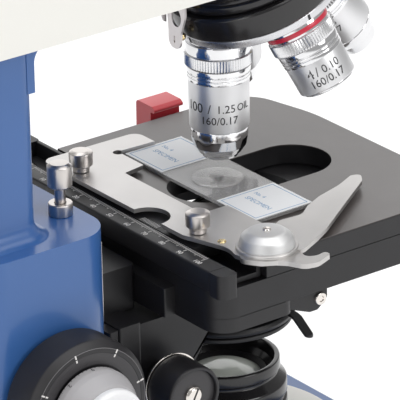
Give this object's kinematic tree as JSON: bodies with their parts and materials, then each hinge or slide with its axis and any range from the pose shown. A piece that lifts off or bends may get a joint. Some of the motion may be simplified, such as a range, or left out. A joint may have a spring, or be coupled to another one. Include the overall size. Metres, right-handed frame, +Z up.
{
  "type": "microscope",
  "caption": "upright binocular microscope with a tilted nosepiece, coaxial focus knobs, a mechanical stage holding a glass slide, an adjustable condenser and a built-in lamp",
  "frame": {"origin": "middle of the outline, on the surface the feet stand on", "axes": "+Z up; +X to the user's right; +Y from the user towards the column"},
  "size_m": [0.1638, 0.2674, 0.3695],
  "materials": {
    "black_paint": "satin",
    "blue_paint": "satin",
    "brass": "satin",
    "chrome": "polished",
    "glass": "polished",
    "grey_plastic": "matte",
    "knob_plastic": "matte",
    "nickel": "satin",
    "red_plastic": "satin",
    "rubber": "matte",
    "stage_coating": "satin",
    "steel": "brushed",
    "white_paint": "satin"
  },
  "bodies": {
    "stand": {"base_casting": "blue_paint", "base_top_panel": "white_paint", "bottom_plate": "black_paint", "foot_front_left": "rubber", "foot_front_right": "rubber", "foot_rear_left": "rubber", "foot_rear_right": "rubber", "power_inlet": "knob_plastic", "collector_housing": "black_paint", "field_lens": "glass", "lamp_module": "steel", "arm_casting": "blue_paint", "arm_cover": "white_paint", "guide_dovetail": "steel", "nosepiece_mount": "black_paint", "click_spring": "steel"},
    "dimmer": {"dimmer_knob": "knob_plastic"},
    "switch": {"power_switch": "knob_plastic"},
    "limit_screw": {"limit_screw": "nickel"},
    "lock_ring": {"limit_lock_ring": "nickel"},
    "head_clamp": {"head_clamp_screw": "nickel"},
    "coarse_drive": {"coarse_sleeve": "brass", "coarse_knob_left": "knob_plastic", "coarse_knob_right": "knob_plastic"},
    "fine_drive": {"fine_shaft": "steel", "fine_knob_left": "grey_plastic", "fine_knob_right": "grey_plastic"},
    "tension": {"tension_collar": "knob_plastic"},
    "focus_carriage": {"focus_slide": "black_paint", "focus_rack": "brass", "stage_lower_plate": "black_paint"},
    "upper_stage": {"stage_top_plate": "stage_coating", "x_rail": "black_paint", "side_clip": "red_plastic"},
    "slide_holder": {"x_carriage": "black_paint", "slide_holder_plate": "nickel", "glass_slide": "glass"},
    "thumb_left": {"thumb_screw_left": "nickel"},
    "thumb_right": {"thumb_screw_right": "nickel"},
    "finger": {"slide_finger": "nickel"},
    "y_drive": {"y_knob": "knob_plastic"},
    "x_drive": {"x_knob": "knob_plastic"},
    "condenser": {"condenser_carrier": "black_paint", "condenser_body": "black_paint", "condenser_lens": "glass"},
    "condenser_drive": {"condenser_knob": "knob_plastic"},
    "iris": {"iris_lever": "black_paint"},
    "filter": {"filter_holder": "black_paint"},
    "turret": {"turret_ring": "knob_plastic", "turret_disc": "steel", "objective_4x": "chrome", "objective_10x": "chrome", "objective_40x": "chrome", "objective_100x": "chrome"},
    "head": {"head_body": "white_paint"},
    "wing_left": {"wing_left": "white_paint", "eyepiece_left": "black_paint"},
    "wing_right": {"wing_right": "white_paint", "eyepiece_right": "black_paint"},
    "diopter": {"diopter_ring": "knob_plastic"}
  },
  "joints": [
    {"name": "focus_travel", "type": "slide", "parent": "stand", "child": "focus_carriage", "axis": [0, 0, 1], "range_m": [-0.009, 0.006]},
    {"name": "coarse_turn", "type": "hinge", "parent": "stand", "child": "coarse_drive", "pos_m": [0, 0.0792, 0.1115], "axis": [1, 0, 0], "range_deg": [-58, 87]},
    {"name": "fine_turn", "type": "hinge", "parent": "stand", "child": "fine_drive", "pos_m": [0, 0.0792, 0.1115], "axis": [1, 0, 0], "continuous": true},
    {"name": "tension_turn", "type": "hinge", "parent": "stand", "child": "tension", "pos_m": [0, 0.0792, 0.1115], "axis": [1, 0, 0], "range_deg": [0, 90]},
    {"name": "stage_y_travel", "type": "slide", "parent": "focus_carriage", "child": "upper_stage", "axis": [0, 1, 0], "range_m": [-0.016, 0.017]},
    {"name": "stage_x_travel", "type": "slide", "parent": "upper_stage", "child": "slide_holder", "axis": [1, 0, 0], "range_m": [-0.026, 0.028]},
    {"name": "y_knob_turn", "type": "hinge", "parent": "upper_stage", "child": "y_drive", "pos_m": [0.07, 0.0207, 0.086], "axis": [0, 0, 1], "range_deg": [-184, 195]},
    {"name": "x_knob_turn", "type": "hinge", "parent": "upper_stage", "child": "x_drive", "pos_m": [0.07, 0.0207, 0.072], "axis": [0, 0, 1], "range_deg": [-249, 268]},
    {"name": "finger_swing", "type": "hinge", "parent": "slide_holder", "child": "finger", "pos_m": [-0.0603, 0.0093, 0.15], "axis": [0, 0, 1], "range_deg": [-35, 0], "stiffness_Nm_per_rad": 0.02},
    {"name": "thumb_left_turn", "type": "hinge", "parent": "slide_holder", "child": "thumb_left", "pos_m": [-0.0355, 0.0195, 0.15], "axis": [0, 0, 1], "range_deg": [-180, 180]},
    {"name": "thumb_right_turn", "type": "hinge", "parent": "slide_holder", "child": "thumb_right", "pos_m": [0.0324, 0.0195, 0.15], "axis": [0, 0, 1], "range_deg": [-180, 180]},
    {"name": "condenser_travel", "type": "slide", "parent": "focus_carriage", "child": "condenser", "axis": [0, 0, 1], "range_m": [-0.005, 0.0005]},
    {"name": "condenser_knob_turn", "type": "hinge", "parent": "focus_carriage", "child": "condenser_drive", "pos_m": [-0.03, 0.0337, 0.1015], "axis": [1, 0, 0], "range_deg": [-10, 96]},
    {"name": "iris_turn", "type": "hinge", "parent": "condenser", "child": "iris", "pos_m": [0, -0.0167, 0.15], "axis": [0, 0, 1], "range_deg": [-25, 25]},
    {"name": "filter_swing", "type": "hinge", "parent": "condenser", "child": "filter", "pos_m": [0.018, -0.0347, 0.097], "axis": [0, 0, 1], "range_deg": [0, 60]},
    {"name": "nosepiece_turn", "type": "hinge", "parent": "stand", "child": "turret", "pos_m": [0, -0.0167, 0.2605], "axis": [0, 0.342, 0.9397], "continuous": true},
    {"name": "head_turn", "type": "hinge", "parent": "stand", "child": "head", "pos_m": [0, -0.0167, 0.31], "axis": [0, 0, 1], "continuous": true},
    {"name": "wing_left_swing", "type": "hinge", "parent": "head", "child": "wing_left", "pos_m": [0, -0.0167, 0.31], "axis": [0, -0.866, 0.5], "range_deg": [-16, 16]},
    {"name": "wing_right_swing", "type": "hinge", "parent": "head", "child": "wing_right", "pos_m": [0, -0.0167, 0.31], "axis": [0, -0.866, 0.5], "range_deg": [-16, 16]},
    {"name": "diopter_turn", "type": "hinge", "parent": "wing_left", "child": "diopter", "pos_m": [-0.03263, -0.02431, 0.29682], "axis": [0, -0.866, 0.5], "range_deg": [-45, 45]},
    {"name": "head_clamp_turn", "type": "hinge", "parent": "stand", "child": "head_clamp", "pos_m": [0.03, -0.0167, 0.2818], "axis": [1, 0, 0], "range_deg": [-90, 90]},
    {"name": "limit_screw_turn", "type": "hinge", "parent": "stand", "child": "limit_screw", "pos_m": [-0.017, 0.0625, 0.165], "axis": [0, 0, 1], "range_deg": [-180, 180]},
    {"name": "lock_ring_turn", "type": "hinge", "parent": "stand", "child": "lock_ring", "pos_m": [-0.017, 0.0625, 0.165], "axis": [0, 0, 1], "range_deg": [-90, 90]},
    {"name": "dimmer_turn", "type": "hinge", "parent": "stand", "child": "dimmer", "pos_m": [0.072, -0.0073, 0.03], "axis": [1, 0, 0], "range_deg": [0, 270]},
    {"name": "switch_rock", "type": "hinge", "parent": "stand", "child": "switch", "pos_m": [0.022, 0.1297, 0.0305], "axis": [1, 0, 0], "range_deg": [-10, 10]}
  ],
  "couplings": [
    {"joint": "coarse_turn", "follows": "focus_travel", "rad_per_m": -166.67},
    {"joint": "y_knob_turn", "follows": "stage_y_travel", "rad_per_m": 200},
    {"joint": "x_knob_turn", "follows": "stage_x_travel", "rad_per_m": 166.67},
    {"joint": "condenser_knob_turn", "follows": "condenser_travel", "rad_per_m": -333.33},
    {"joint": "wing_right_swing", "follows": "wing_left_swing", "ratio": -1}
  ]
}
